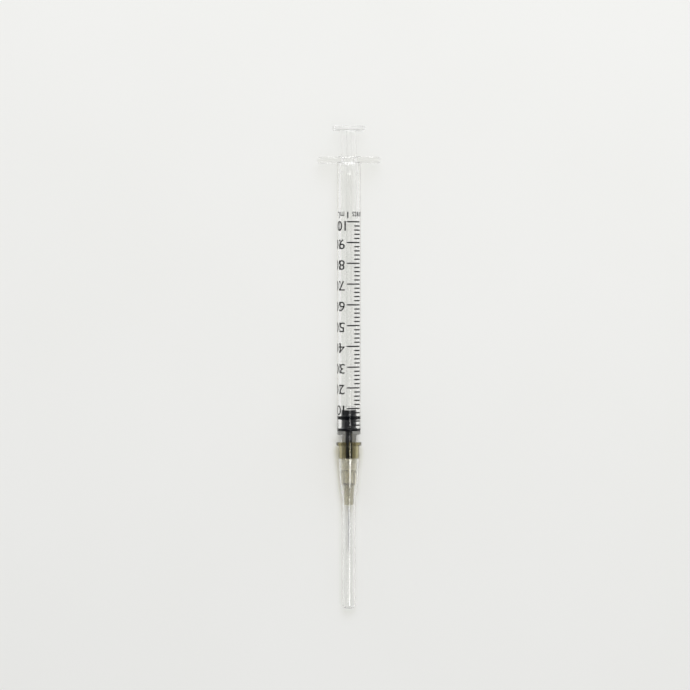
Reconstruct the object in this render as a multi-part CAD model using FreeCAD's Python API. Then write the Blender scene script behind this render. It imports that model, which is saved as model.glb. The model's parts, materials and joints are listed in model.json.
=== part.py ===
# One millilitre syringe with a capped needle on its nozzle, in millimetres.
# Each piece is drawn along the Y axis: y = 0 is the flat end of the bore, -Y the needle, +Y the thumb.
# All of them are then laid down together, +Z up, on the finger flange and the rim of the needle hub.

import FreeCAD
import Part

import math
import os

# Scale
marked_volume = 1000.0  # cubic mm from the zero line to the last line
scale_steps = 50
steps_per_long_line = 5
zero_line_height = 0.55  # zero line above the flat end of the bore
line_width = 0.38
ink_thickness = 0.03
short_line_start = 26.0  # degrees round the barrel, from its top towards +X
long_line_start = -12.0
line_end = 68.0

# Barrel
bore_diameter = 4.70
barrel_wall = 0.90
front_wall = 1.00
barrel_past_scale = 16.4  # last line to the front of the finger flange
barrel_edge_bevel = 0.25
mouth_flare = 0.20
retaining_bead_height = 0.15
retaining_bead_width = 1.0
retaining_bead_setback = 4.5  # back of the flange to the bead
flange_thickness = 1.60
flange_span = 17.5
flange_height = 9.6
flange_corner_round = 1.4
flange_edge_bevel = 0.30
flange_root_bevel = 0.60

# Nozzle
nozzle_length = 7.8
nozzle_tip_diameter = 3.96
nozzle_bore = 1.40
nozzle_tip_bevel = 0.25
cone_taper = 0.06  # loss of diameter per length, nozzle and hub alike

# Stopper
stopper_length = 5.85
stopper_clearance = 0.015  # radial, sealing ribs in the bore
front_rib_length = 0.75
rear_rib_start = 3.20
rear_rib_length = 0.98
waist_diameter = 4.10
tail_diameter = 4.20
rubber_bevel = 0.12
nib_clearance = 0.02  # radial, nib in the bore of the nozzle
nib_setback = 1.20  # tip of the nozzle to the end of the nib

# Plunger rod
rod_clearance = 0.25  # radial, rod in the bore
rod_rib_thickness = 0.95
rod_rib_root_round = 0.20
front_disc_thickness = 0.90
exposed_rod = 7.4  # back of the flange to the thumb rest, plunger home
thumb_rest_thickness = 1.30
thumb_rest_inset = 0.30  # radial, thumb rest inside the flange's flats
thumb_rest_bevel = 0.35
neck_diameter = 1.90
neck_length = 1.00
head_diameter = 2.80
head_length = 1.10
head_cone_length = 0.80
head_cone_tip_diameter = 1.40
socket_clearance = 0.03  # all round the head and neck

# Needle hub
hub_mouth_bore = 4.344  # diameter at the mouth, which sets how far the hub goes onto the nozzle
cone_clearance = 0.02  # radial, nozzle in the hub
hub_rim_diameter = 7.10
hub_rim_thickness = 1.00
hub_rim_bevel = 0.15
hub_body_diameter = 5.85
hub_body_length = 3.50
hub_body_bevel = 0.25
space_past_nozzle = 2.2
hub_floor = 0.6
fin_length = 7.45  # body to the end of the fins
fin_thickness = 0.70
fin_count = 4
core_diameter = 3.40
core_bore = 2.40
core_floor = 0.42  # end of the core's bore to the end of the fins
nose_base_diameter = 2.85
nose_tip_diameter = 2.60
nose_length = 5.55
nose_bevel = 0.20

# Cannula and its glue
cannula_diameter = 0.45
cannula_bore = 0.26
exposed_cannula = 13.0
bevel_angle = 12.0
glue_well_diameter = 1.40
glue_well_depth = 4.60
glue_rise = 0.25

# Needle cap
cap_gap = 0.10  # cap to the faces of the hub
cap_clearance = 0.02  # radial, fins in the cap
cap_wall = 0.45
cap_mouth_diameter = 5.76
cap_shoulder_diameter = 5.00
cap_shoulder_length = 3.40  # cone from the mouth to the tube
cap_tube_diameter = 3.80
cap_past_tip = 15.4  # needle tip to the inside of the cap's end
cap_end_bevel = 0.50

# Places along Y
bore_radius = bore_diameter / 2
outer_radius = bore_radius + barrel_wall
scale_length = marked_volume / (math.pi * bore_radius**2)
flange_front = zero_line_height + scale_length + barrel_past_scale
flange_back = flange_front + flange_thickness
bead_middle = flange_back - retaining_bead_setback
barrel_front = -front_wall
nozzle_tip = barrel_front - nozzle_length
nozzle_tip_radius = nozzle_tip_diameter / 2
hub_mouth = nozzle_tip + (hub_mouth_bore - 2 * cone_clearance - nozzle_tip_diameter) / cone_taper
hub_rim_front = hub_mouth - hub_rim_thickness
hub_body_front = hub_rim_front - hub_body_length
hub_cavity_end = nozzle_tip - space_past_nozzle
fin_front = hub_body_front - fin_length
core_bore_end = fin_front + core_floor
nose_tip = fin_front - nose_length
cannula_tip = nose_tip - exposed_cannula
cap_mouth = hub_body_front - cap_gap
cap_shoulder = fin_front - cap_gap - cap_wall
cap_tube_start = cap_shoulder - cap_shoulder_length
cap_tip = cannula_tip - cap_past_tip - cap_wall
disc_front = stopper_length + socket_clearance
disc_back = disc_front + front_disc_thickness
thumb_rest_front = flange_back + exposed_rod
thumb_rest_back = thumb_rest_front + thumb_rest_thickness
rod_radius = bore_radius - rod_clearance
thumb_rest_radius = flange_height / 2 - thumb_rest_inset
plunger_travel = bead_middle - retaining_bead_width / 2 - rear_rib_start - rear_rib_length

same_place = 1e-4  # two places nearer than this are one
axis = FreeCAD.Vector(0, 1, 0)
middle = FreeCAD.Vector(0, 0, 0)


# Radius of a cone at one place, from its radius at another.
def cone_radius(known_radius, known_place, place):
    return known_radius + (place - known_place) * cone_taper / 2


# Closed half section through corners of (radius, place along Y, bevel). A bevel above 0 takes the corner
# off straight between the two points where an arc of that radius would touch its legs.
def half_section(corners):
    points = [FreeCAD.Vector(radius, place, 0) for radius, place, bevel in corners]
    outline = []
    for i, (radius, place, bevel) in enumerate(corners):
        if bevel > 0:
            back = (points[i - 1] - points[i]).normalize()
            ahead = (points[(i + 1) % len(points)] - points[i]).normalize()
            leg = bevel / math.tan(back.getAngle(ahead) / 2)
            outline += [points[i] + back * leg, points[i] + ahead * leg]
        else:
            outline.append(points[i])
    return Part.makePolygon(outline + outline[:1])


# Solid turned about Y from its half section.
def turned(corners):
    return Part.Face(half_section(corners)).revolve(middle, axis, 360)


# Plate along Y that crosses the axis: width along X, thickness along Z.
def cross_plate(width, thickness, start, end):
    corner = FreeCAD.Vector(-width / 2, start, -thickness / 2)
    return Part.makeBox(width, end - start, thickness, corner)


# Edges on a circle about Y of this radius at this place.
def ring_edges(shape, radius, place):
    found = []
    for edge in shape.Edges:
        curve = edge.Curve
        if isinstance(curve, Part.Circle) and abs(curve.Radius - radius) < same_place:
            if abs(curve.Center.y - place) < same_place:
                found.append(edge)
    return found


# Round disc with two flats: its four corners are rounded, then both rims bevelled.
def make_flange():
    disc = Part.makeCylinder(flange_span / 2, flange_thickness, axis * flange_front, axis)
    slab = cross_plate(flange_span, flange_height, flange_front, flange_back)
    plate = disc.common(slab)
    corners = [edge for edge in plate.Edges if edge.BoundBox.YLength > flange_thickness - same_place]
    plate = plate.makeFillet(flange_corner_round, corners)
    rims = [edge for edge in plate.Edges if edge.BoundBox.YLength < same_place]
    return plate.makeChamfer(flange_edge_bevel, rims)


def make_barrel():
    base_radius = cone_radius(nozzle_tip_radius, nozzle_tip, barrel_front)
    body = turned([
        (0, nozzle_tip, 0),
        (nozzle_tip_radius, nozzle_tip, nozzle_tip_bevel),
        (base_radius, barrel_front, barrel_edge_bevel),
        (outer_radius, barrel_front, barrel_edge_bevel),
        (outer_radius, flange_back, 0),
        (0, flange_back, 0),
    ])
    body = body.fuse(make_flange()).removeSplitter()
    body = body.makeChamfer(flange_root_bevel, ring_edges(body, outer_radius, flange_front))
    bead_half = retaining_bead_width / 2
    past = front_wall  # the cutter runs out past both ends by this much
    hollow = turned([
        (0, nozzle_tip - past, 0),
        (nozzle_bore / 2, nozzle_tip - past, 0),
        (nozzle_bore / 2, 0, 0),
        (bore_radius, 0, 0),
        (bore_radius, bead_middle - bead_half, 0),
        (bore_radius - retaining_bead_height, bead_middle, bead_half),
        (bore_radius, bead_middle + bead_half, 0),
        (bore_radius, flange_back - mouth_flare, 0),
        (bore_radius + mouth_flare, flange_back, 0),
        (bore_radius + mouth_flare, flange_back + past, 0),
        (0, flange_back + past, 0),
    ])
    return body.cut(hollow)


# One printed line: a ring sector on the barrel, from one angle to another, centred at a place on Y.
def scale_line(start_angle, place):
    def on_barrel(radius, angle):
        turn = math.radians(angle)
        return FreeCAD.Vector(radius * math.sin(turn), place - line_width / 2, radius * math.cos(turn))

    ink_radius = outer_radius + ink_thickness
    angles = (start_angle, (start_angle + line_end) / 2, line_end)
    outside = [on_barrel(ink_radius, angle) for angle in angles]
    inside = [on_barrel(outer_radius, angle) for angle in angles]
    edges = [
        Part.Arc(*outside).toShape(),
        Part.LineSegment(outside[-1], inside[-1]).toShape(),
        Part.Arc(*reversed(inside)).toShape(),
        Part.LineSegment(inside[0], outside[0]).toShape(),
    ]
    return Part.Face(Part.Wire(edges)).extrude(axis * line_width)


def make_scale():
    lines = []
    for step in range(scale_steps + 1):
        start_angle = short_line_start if step % steps_per_long_line else long_line_start
        place = zero_line_height + scale_length * step / scale_steps
        lines.append(scale_line(start_angle, place))
    return Part.makeCompound(lines)


# Half section of the rod's snap head and neck, grown by a gap all round for the socket.
def head_section(gap):
    neck_end = disc_front
    head_back = stopper_length - neck_length + gap
    head_front = head_back - head_length - 2 * gap
    cone_front = head_front - head_cone_length
    return [
        (0, cone_front, 0),
        (head_cone_tip_diameter / 2 + gap, cone_front, 0),
        (head_diameter / 2 + gap, head_front, 0),
        (head_diameter / 2 + gap, head_back, 0),
        (neck_diameter / 2 + gap, head_back, 0),
        (neck_diameter / 2 + gap, neck_end, 0),
        (0, neck_end, 0),
    ]


# Two sealing ribs with a waist between them, a tail, and a nib that drives the last drop out of the nozzle.
def make_stopper():
    rib_radius = bore_radius - stopper_clearance
    waist_radius = waist_diameter / 2
    tail_radius = tail_diameter / 2
    rear_rib_end = rear_rib_start + rear_rib_length
    nib_radius = nozzle_bore / 2 - nib_clearance
    nib_end = nozzle_tip + nib_setback
    body = turned([
        (0, nib_end, 0),
        (nib_radius, nib_end, rubber_bevel),
        (nib_radius, 0, 0),
        (rib_radius, 0, rubber_bevel),
        (rib_radius, front_rib_length, 0),
        (waist_radius, front_rib_length, 0),
        (waist_radius, rear_rib_start, 0),
        (rib_radius, rear_rib_start, 0),
        (rib_radius, rear_rib_end, rubber_bevel),
        (tail_radius, rear_rib_end, 0),
        (tail_radius, stopper_length, rubber_bevel),
        (0, stopper_length, 0),
    ])
    return body.cut(turned(head_section(socket_clearance)))


# Cross-shaped rod with rounded rib edges and filleted roots, a disc behind the stopper and the thumb rest.
def make_plunger_rod():
    overlap = thumb_rest_thickness / 2  # the ribs run this far into the discs
    start = disc_back - front_disc_thickness / 2
    end = thumb_rest_front + overlap
    ribs = cross_plate(2 * rod_radius, rod_rib_thickness, start, end)
    ribs = ribs.fuse(cross_plate(rod_rib_thickness, 2 * rod_radius, start, end)).removeSplitter()
    root = rod_rib_thickness / 2
    roots = []
    for edge in ribs.Edges:
        place = edge.CenterOfMass
        if abs(abs(place.x) - root) < same_place and abs(abs(place.z) - root) < same_place:
            roots.append(edge)
    ribs = ribs.makeFillet(rod_rib_root_round, roots)
    ribs = ribs.common(Part.makeCylinder(rod_radius, end - start, axis * start, axis))
    front_disc = Part.makeCylinder(rod_radius, front_disc_thickness, axis * disc_front, axis)
    thumb_rest = turned([
        (0, thumb_rest_front, 0),
        (thumb_rest_radius, thumb_rest_front, thumb_rest_bevel),
        (thumb_rest_radius, thumb_rest_back, thumb_rest_bevel),
        (0, thumb_rest_back, 0),
    ])
    return ribs.fuse([front_disc, thumb_rest, turned(head_section(0))]).removeSplitter()


# Inside of the cap's wide mouth, which the fins of the hub are made to.
def cap_mouth_radius(place):
    wide = cap_mouth_diameter / 2 - cap_wall
    narrow = cap_shoulder_diameter / 2 - cap_wall
    share = (cap_mouth - place) / (cap_mouth - cap_shoulder)
    return wide + (narrow - wide) * share


def make_needle_hub():
    seat_end = hub_cavity_end - hub_floor
    seat_start_radius = cap_mouth_radius(hub_body_front) - cap_clearance
    seat_end_radius = cap_mouth_radius(seat_end) - cap_clearance
    fin_end_radius = cap_mouth_radius(fin_front) - cap_clearance
    body = turned([
        (0, hub_mouth, 0),
        (hub_rim_diameter / 2, hub_mouth, hub_rim_bevel),
        (hub_rim_diameter / 2, hub_rim_front, hub_rim_bevel),
        (hub_body_diameter / 2, hub_rim_front, 0),
        (hub_body_diameter / 2, hub_body_front, hub_body_bevel),
        (seat_start_radius, hub_body_front, 0),
        (seat_end_radius, seat_end, 0),
        (core_diameter / 2, seat_end, 0),
        (core_diameter / 2, fin_front, 0),
        (nose_base_diameter / 2, fin_front, 0),
        (nose_tip_diameter / 2, nose_tip, nose_bevel),
        (0, nose_tip, 0),
    ])
    fin_envelope = turned([
        (0, hub_body_front, 0),
        (seat_start_radius, hub_body_front, 0),
        (fin_end_radius, fin_front, 0),
        (0, fin_front, 0),
    ])
    plate = cross_plate(2 * seat_start_radius, fin_thickness, fin_front, hub_body_front)
    for i in range(fin_count // 2):
        turned_plate = plate.copy()
        turned_plate.rotate(middle, axis, 360 * i / fin_count)
        body = body.fuse(turned_plate.common(fin_envelope))
    past = hub_rim_thickness  # the cutters run out past the mouth and the nose by this much
    cavity = turned([
        (0, core_bore_end, 0),
        (core_bore / 2, core_bore_end, 0),
        (core_bore / 2, hub_cavity_end, 0),
        (cone_radius(nozzle_tip_radius, nozzle_tip, hub_cavity_end) + cone_clearance, hub_cavity_end, 0),
        (cone_radius(nozzle_tip_radius, nozzle_tip, hub_mouth + past) + cone_clearance, hub_mouth + past, 0),
        (0, hub_mouth + past, 0),
    ])
    needle_hole = Part.makeCylinder(cannula_diameter / 2, core_bore_end - nose_tip, axis * nose_tip, axis)
    return body.removeSplitter().cut([cavity, needle_hole, glue_well()])


# Round well in the hub's nose that the glue fills.
def glue_well():
    return Part.makeCylinder(glue_well_diameter / 2, glue_well_depth, axis * nose_tip, axis)


def make_glue_bead():
    rise = turned([
        (0, nose_tip, 0),
        (glue_well_diameter / 2, nose_tip, 0),
        (cannula_diameter / 2, nose_tip - glue_rise, 0),
        (0, nose_tip - glue_rise, 0),
    ])
    bead = glue_well().fuse(rise).removeSplitter()
    length = glue_well_depth + glue_rise
    hole = Part.makeCylinder(cannula_diameter / 2, length, axis * (nose_tip - glue_rise), axis)
    return bead.cut(hole)


# Steel tube cut off at a slant, its opening towards +Z and its point on the lower side.
def make_cannula():
    length = core_bore_end - cannula_tip
    radius = cannula_diameter / 2
    tube = Part.makeCylinder(radius, length, axis * cannula_tip, axis)
    tube = tube.cut(Part.makeCylinder(cannula_bore / 2, length, axis * cannula_tip, axis))
    bevel_length = cannula_diameter / math.tan(math.radians(bevel_angle))
    cutter = Part.makePolygon([
        FreeCAD.Vector(-cannula_diameter, cannula_tip, -radius),
        FreeCAD.Vector(-cannula_diameter, cannula_tip + bevel_length, radius),
        FreeCAD.Vector(-cannula_diameter, cannula_tip, radius),
        FreeCAD.Vector(-cannula_diameter, cannula_tip, -radius),
    ])
    return tube.cut(Part.Face(cutter).extrude(FreeCAD.Vector(2 * cannula_diameter, 0, 0)))


def make_needle_cap():
    tube_radius = cap_tube_diameter / 2
    outside = turned([
        (0, cap_tip, 0),
        (tube_radius, cap_tip, cap_end_bevel),
        (tube_radius, cap_tube_start, 0),
        (cap_shoulder_diameter / 2, cap_shoulder, 0),
        (cap_mouth_diameter / 2, cap_mouth, 0),
        (0, cap_mouth, 0),
    ])
    floor = cap_tip + cap_wall
    inner_shoulder = cap_shoulder + cap_wall
    inside = turned([
        (0, floor, 0),
        (tube_radius - cap_wall, floor, 0),
        (tube_radius - cap_wall, cap_tube_start, 0),
        (cap_mouth_radius(inner_shoulder), inner_shoulder, 0),
        (cap_mouth_radius(cap_mouth), cap_mouth, 0),
        (0, cap_mouth, 0),
    ])
    return outside.cut(inside)


# The needle end dips until the hub's rim meets the table that the flange lies on.
def lay_down(pieces):
    rise = flange_height / 2 - hub_rim_diameter / 2
    span = flange_front + flange_edge_bevel - hub_rim_front - hub_rim_bevel
    dip = FreeCAD.Rotation(FreeCAD.Vector(1, 0, 0), math.degrees(math.asin(rise / span)))
    turned_over = FreeCAD.Placement(middle, dip)
    dipped = [shape.transformed(turned_over.toMatrix(), True) for shape in pieces.values()]
    box = Part.makeCompound(dipped).optimalBoundingBox(False, False)
    shift = FreeCAD.Vector(-box.Center.x, -box.Center.y, -box.ZMin)
    place = FreeCAD.Placement(shift, dip)
    return {name: shape.transformed(place.toMatrix(), True) for name, shape in pieces.items()}, place


pieces = {
    "barrel": make_barrel(),
    "scale_marks": make_scale(),
    "stopper": make_stopper(),
    "plunger_rod": make_plunger_rod(),
    "needle_hub": make_needle_hub(),
    "cannula": make_cannula(),
    "glue_bead": make_glue_bead(),
    "needle_cap": make_needle_cap(),
}
laid, laid_place = lay_down(pieces)
os.makedirs("parts", exist_ok=True)
for name, shape in laid.items():
    shape.exportStep(f"parts/{name}.step")
    print(name, "solids", len(shape.Solids), "valid", shape.isValid(), "volume", round(shape.Volume, 3))
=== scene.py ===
# Looks of a one millilitre syringe with a capped needle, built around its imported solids.
# Sizes are millimetres in the syringe's own frame: across (+X), along (0 at the flat end of the bore,
# + to the thumb, - to the needle) and up. place() takes them to the frame's metres.

import json
import math

import bmesh
import bpy
import numpy as np
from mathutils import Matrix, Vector


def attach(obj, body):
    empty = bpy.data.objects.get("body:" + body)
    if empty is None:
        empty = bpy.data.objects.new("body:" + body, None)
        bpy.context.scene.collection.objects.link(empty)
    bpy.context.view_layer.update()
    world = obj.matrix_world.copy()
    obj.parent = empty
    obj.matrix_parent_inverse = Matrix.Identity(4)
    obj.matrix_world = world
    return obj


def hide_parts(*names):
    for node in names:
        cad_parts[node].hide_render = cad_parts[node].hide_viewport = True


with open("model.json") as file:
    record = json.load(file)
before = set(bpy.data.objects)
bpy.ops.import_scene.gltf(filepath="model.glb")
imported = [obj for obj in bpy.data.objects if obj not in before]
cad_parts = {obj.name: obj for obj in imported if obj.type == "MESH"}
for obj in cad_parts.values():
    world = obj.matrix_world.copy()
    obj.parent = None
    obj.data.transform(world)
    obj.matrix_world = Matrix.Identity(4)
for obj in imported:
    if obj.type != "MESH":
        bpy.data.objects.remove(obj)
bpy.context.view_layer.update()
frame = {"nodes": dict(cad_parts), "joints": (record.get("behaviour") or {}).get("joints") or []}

print("frame loaded:", sorted(frame["nodes"]))

scene = bpy.context.scene
joints = {joint["name"]: joint for joint in frame["joints"]}
axisAlong = np.array(joints["plunger_slide"]["axis"], float)
axisAcross = np.array([1.0, 0.0, 0.0])
axisUp = np.cross(axisAcross, axisAlong)
boreEnd = np.array(joints["rod_turn"]["pos_m"], float)
perMetre = 1000.0
taper = 0.06  # loss of diameter per length on the nozzle and in the hub
sharpAngle = 38.0  # degrees between two faces past which their edge shades sharp
tiny = 1e-6  # keeps a division finite
noQuads = np.zeros((0, 4), int)
noTriangles = np.zeros((0, 3), int)


# Frame point = end of the bore + across, along and up times their axes.
def place(points):
    points = np.asarray(points, float) / perMetre
    across, along, up = points[..., :1], points[..., 1:2], points[..., 2:3]
    return boreEnd + across * axisAcross + along * axisAlong + up * axisUp


# Volume enclosed by faces: the sum of a . (b x c) / 6 over the triangles of their fans.
# It is negative when they are inside out.
def enclosedVolume(points, faces):
    first = points[faces[:, 0]]
    total = 0.0
    for k in range(1, faces.shape[1] - 1):
        total += np.einsum("ij,ij->", first, np.cross(points[faces[:, k]], points[faces[:, k + 1]]))
    return total / 6


# Mesh of quads and triangles, turned so that its faces point outwards.
def makeMesh(name, points, quads, triangles):
    if enclosedVolume(points, quads) + enclosedVolume(points, triangles) < 0:
        quads = quads[:, ::-1]
        triangles = triangles[:, ::-1]
    corners = np.concatenate([quads.ravel(), triangles.ravel()]).astype(np.int32)
    cornerCounts = np.concatenate([np.full(len(quads), 4), np.full(len(triangles), 3)])
    starts = np.concatenate([[0], np.cumsum(cornerCounts)[:-1]]).astype(np.int32)
    mesh = bpy.data.meshes.new(name)
    mesh.vertices.add(len(points))
    mesh.vertices.foreach_set("co", np.ascontiguousarray(points, np.float32).ravel())
    mesh.loops.add(len(corners))
    mesh.loops.foreach_set("vertex_index", corners)
    mesh.polygons.add(len(starts))
    mesh.polygons.foreach_set("loop_start", starts)
    mesh.polygons.foreach_set("use_smooth", np.ones(len(starts), bool))
    mesh.update(calc_edges=True)
    mesh.validate()
    return mesh


# Faces of a tube of (rows, turns) points with closed ends: quads between the rows, and a fan of triangles
# from each end row to its pole. The two poles are numbered after all other points.
def tubeFaces(rows, turns):
    here = np.arange(rows * turns).reshape(rows, turns)
    beside = np.roll(here, -1, axis=1)
    quads = np.stack([here[:-1], beside[:-1], beside[1:], here[1:]], -1).reshape(-1, 4)
    pole = np.full(turns, rows * turns)
    fans = np.concatenate([
        np.stack([beside[0], here[0], pole], -1),
        np.stack([here[-1], beside[-1], pole + 1], -1),
    ])
    return quads, fans


# Closed skin from a grid of points (rows, turns, 3). Turns always wrap round. Rows wrap too, as on a ring,
# unless two pole points are given, which then close the ends.
def skin(name, grid, poles=None):
    rows, turns = grid.shape[:2]
    points = grid.reshape(-1, 3)
    if poles is None:
        here = np.arange(rows * turns).reshape(rows, turns)
        beside = np.roll(here, -1, axis=1)
        quads = np.stack([here, beside, np.roll(beside, -1, axis=0), np.roll(here, -1, axis=0)], -1)
        return makeMesh(name, place(points), quads.reshape(-1, 4), noTriangles)
    quads, fans = tubeFaces(rows, turns)
    return makeMesh(name, place(np.concatenate([points, poles])), quads, fans)


# Outline through corners of (radius, along, rounding), as rows of (radius, along). Each corner is an arc that
# touches both legs: its centre is on the bisector, rounding / sin(half angle) from the corner, and its points
# stand at even angles between the two spokes to the legs. One guard point on each leg just outside the arc
# keeps the shading of the long faces flat. The first and last corner only aim the end legs and are left out.
def roundedOutline(corners, arcSteps=6, guard=0.12):
    spots = np.array([corner[:2] for corner in corners], float)
    t = np.linspace(0, 1, arcSteps + 1)[:, None]
    parts = []
    for i in range(1, len(corners) - 1):
        spot = spots[i]
        rounding = corners[i][2]
        back = spots[i - 1] - spot
        ahead = spots[i + 1] - spot
        back = back / np.linalg.norm(back)
        ahead = ahead / np.linalg.norm(ahead)
        half = 0.5 * math.acos(float(np.clip(back @ ahead, -1, 1)))
        leg = rounding / math.tan(half)
        bisector = (back + ahead) / np.linalg.norm(back + ahead)
        centre = spot + bisector * rounding / math.sin(half)
        startSpoke = spot + back * leg - centre
        endSpoke = spot + ahead * leg - centre
        sweep = math.pi - 2 * half
        arc = centre + (np.sin((1 - t) * sweep) * startSpoke + np.sin(t * sweep) * endSpoke) / math.sin(sweep)
        step = guard * rounding
        parts += [(spot + back * (leg + step))[None], arc, (spot + ahead * (leg + step))[None]]
    return np.concatenate(parts)


# Turn angles of a full circle: 2 pi k / count.
def evenTurns(count):
    return np.arange(count) * 2 * math.pi / count


# Radii of an outline's rows, the same at every turn.
def roundRows(outline, turns):
    return np.repeat(outline[:, :1], len(turns), axis=1)


# Round grid: across = radius sin(turn), up = radius cos(turn). Radii and alongs may be one per row or one
# per point.
def roundGrid(radii, alongs, turns):
    shape = (len(radii), len(turns))
    radii, alongs = [np.broadcast_to(np.reshape(part, (len(part), -1)), shape) for part in (radii, alongs)]
    return np.stack([radii * np.sin(turns), alongs, radii * np.cos(turns)], -1)


# New object in the scene.
def newObject(name, data):
    thing = bpy.data.objects.new(name, data)
    scene.collection.objects.link(thing)
    return thing


# Skin of an outline carried round the axis.
def turnedSkin(name, outline, turns, poles=None):
    return skin(name, roundGrid(outline[:, 0], outline[:, 1], evenTurns(turns)), poles)


# Puts a finished mesh on its body, with its name and its material, and hides the nodes that it stands for.
def addPiece(mesh, material, body, replaced=()):
    piece = newObject(mesh.name, mesh)
    mesh.materials.append(material)
    mesh.set_sharp_from_angle(angle=math.radians(sharpAngle))
    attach(piece, body)
    if replaced:
        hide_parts(*replaced)
    mesh.calc_loop_triangles()
    print("made", mesh.name, len(mesh.loop_triangles), "triangles on", body)


# New node in a tree: its settings by name, and the values of its sockets by name or number.
def newNode(tree, kind, values=None, **settings):
    node = tree.nodes.new(kind)
    for setting, value in settings.items():
        setattr(node, setting, value)
    for socketName, value in (values or {}).items():
        node.inputs[socketName].default_value = value
    return node


# Links in a tree, as rows of (node, its output, next node, its input).
def joinNodes(tree, rows):
    for node, output, nextNode, socketName in rows:
        tree.links.new(node.outputs[output], nextNode.inputs[socketName])


# New material with its node tree and its shader, whose sockets are set by name.
def newMaterial(name, values):
    material = bpy.data.materials.new(name)
    material.use_nodes = True
    shader = material.node_tree.nodes["Principled BSDF"]
    for socketName, value in values.items():
        shader.inputs[socketName].default_value = value
    return material, material.node_tree, shader


# New shader group, with the names and types of its sockets. Its inputs get their values where it is used.
def newGroup(name, inputs, outputs):
    group = bpy.data.node_groups.new(name, "ShaderNodeTree")
    for direction, sockets in (("INPUT", inputs), ("OUTPUT", outputs)):
        for socketName, kind in sockets.items():
            group.interface.new_socket(name=socketName, in_out=direction, socket_type="NodeSocket" + kind)
    return group, newNode(group, "NodeGroupInput"), newNode(group, "NodeGroupOutput")


# Places a group in a material, on Object coordinates and with the material's own values.
def useGroup(tree, group, values):
    node = newNode(tree, "ShaderNodeGroup", values, node_tree=group)
    joinNodes(tree, [(newNode(tree, "ShaderNodeTexCoord"), "Object", node, "Vector")])
    return node


# Moulded surface: a slow change of gloss from one patch to the next, with a fine grain over it.
# Roughness = low + (high - low) * patches, Height = grain.
def makeMouldGrain():
    inputs = {
        "Vector": "Vector", "Patch Scale": "Float", "Grain Scale": "Float", "Low": "Float", "High": "Float",
    }
    group, entry, result = newGroup("mouldGrain", inputs, {"Roughness": "Float", "Height": "Float"})
    patches = newNode(group, "ShaderNodeTexNoise", {"Detail": 3.0})
    grain = newNode(group, "ShaderNodeTexNoise", {"Detail": 2.0})
    spread = newNode(group, "ShaderNodeMapRange", {"From Min": 0.32, "From Max": 0.68})
    joinNodes(group, [
        (entry, "Vector", patches, "Vector"),
        (entry, "Vector", grain, "Vector"),
        (entry, "Patch Scale", patches, "Scale"),
        (entry, "Grain Scale", grain, "Scale"),
        (patches, "Fac", spread, "Value"),
        (entry, "Low", spread, "To Min"),
        (entry, "High", spread, "To Max"),
        (spread, "Result", result, "Roughness"),
        (grain, "Fac", result, "Height"),
    ])
    return group


# Fine rubbing marks that run along the syringe: noise stretched along the axis, kept only at its peaks.
# Mask = smooth step of that noise from Start to End.
def makeRubMarks():
    inputs = {"Vector": "Vector", "Scale": "Float", "Start": "Float", "End": "Float"}
    group, entry, result = newGroup("rubMarks", inputs, {"Mask": "Float"})
    stretch = newNode(group, "ShaderNodeMapping", {"Scale": (1.0, 0.08, 1.0)})
    marks = newNode(group, "ShaderNodeTexNoise", {"Detail": 4.0})
    keep = newNode(group, "ShaderNodeMapRange", interpolation_type="SMOOTHSTEP")
    joinNodes(group, [
        (entry, "Vector", stretch, "Vector"),
        (stretch, "Vector", marks, "Vector"),
        (entry, "Scale", marks, "Scale"),
        (marks, "Fac", keep, "Value"),
        (entry, "Start", keep, "From Min"),
        (entry, "End", keep, "From Max"),
        (keep, "Result", result, "Mask"),
    ])
    return group


# A colour that wanders a little between two shades: Color = first + (second - first) * slow noise.
def makeShadeDrift():
    inputs = {"Vector": "Vector", "Scale": "Float", "First Shade": "Color", "Second Shade": "Color"}
    group, entry, result = newGroup("shadeDrift", inputs, {"Color": "Color"})
    slow = newNode(group, "ShaderNodeTexNoise", {"Detail": 4.0})
    spread = newNode(group, "ShaderNodeMapRange", {"From Min": 0.3, "From Max": 0.7})
    mix = newNode(group, "ShaderNodeMix", data_type="RGBA")
    joinNodes(group, [
        (entry, "Vector", slow, "Vector"),
        (entry, "Scale", slow, "Scale"),
        (slow, "Fac", spread, "Value"),
        (spread, "Result", mix, 0),
        (entry, "First Shade", mix, 6),
        (entry, "Second Shade", mix, 7),
        (mix, 2, result, "Color"),
    ])
    return group


mouldGrain = makeMouldGrain()
rubMarks = makeRubMarks()
shadeDrift = makeShadeDrift()


# Surface bump from one output of a node. The distance is in metres.
def addBump(tree, shader, node, output, distance):
    bump = newNode(tree, "ShaderNodeBump", {"Distance": distance})
    joinNodes(tree, [(node, output, bump, "Height"), (bump, "Normal", shader, "Normal")])


# Lamps reach what lies behind a piece: shadow and diffuse rays pass it straight, dimmed by facingTint.
# With an edgeTint too, facingTint is for rays that meet it square, and edgeTint for rays that graze it.
def letLampsThrough(tree, shader, facingTint, edgeTint=None):
    passing = newNode(tree, "ShaderNodeBsdfTransparent", {"Color": (*facingTint, 1.0)})
    if edgeTint:
        grazing = newNode(tree, "ShaderNodeLayerWeight", {"Blend": 0.35})
        tint = newNode(tree, "ShaderNodeMix", {6: (*facingTint, 1.0), 7: (*edgeTint, 1.0)}, data_type="RGBA")
        joinNodes(tree, [(grazing, "Facing", tint, 0), (tint, 2, passing, "Color")])
    path = newNode(tree, "ShaderNodeLightPath")
    either = newNode(tree, "ShaderNodeMath", operation="MAXIMUM")
    mix = newNode(tree, "ShaderNodeMixShader")
    joinNodes(tree, [
        (path, "Is Shadow Ray", either, 0),
        (path, "Is Diffuse Ray", either, 1),
        (either, "Value", mix, 0),
        (shader, "BSDF", mix, 1),
        (passing, "BSDF", mix, 2),
        (mix, "Shader", tree.nodes["Material Output"], "Surface"),
    ])


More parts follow.
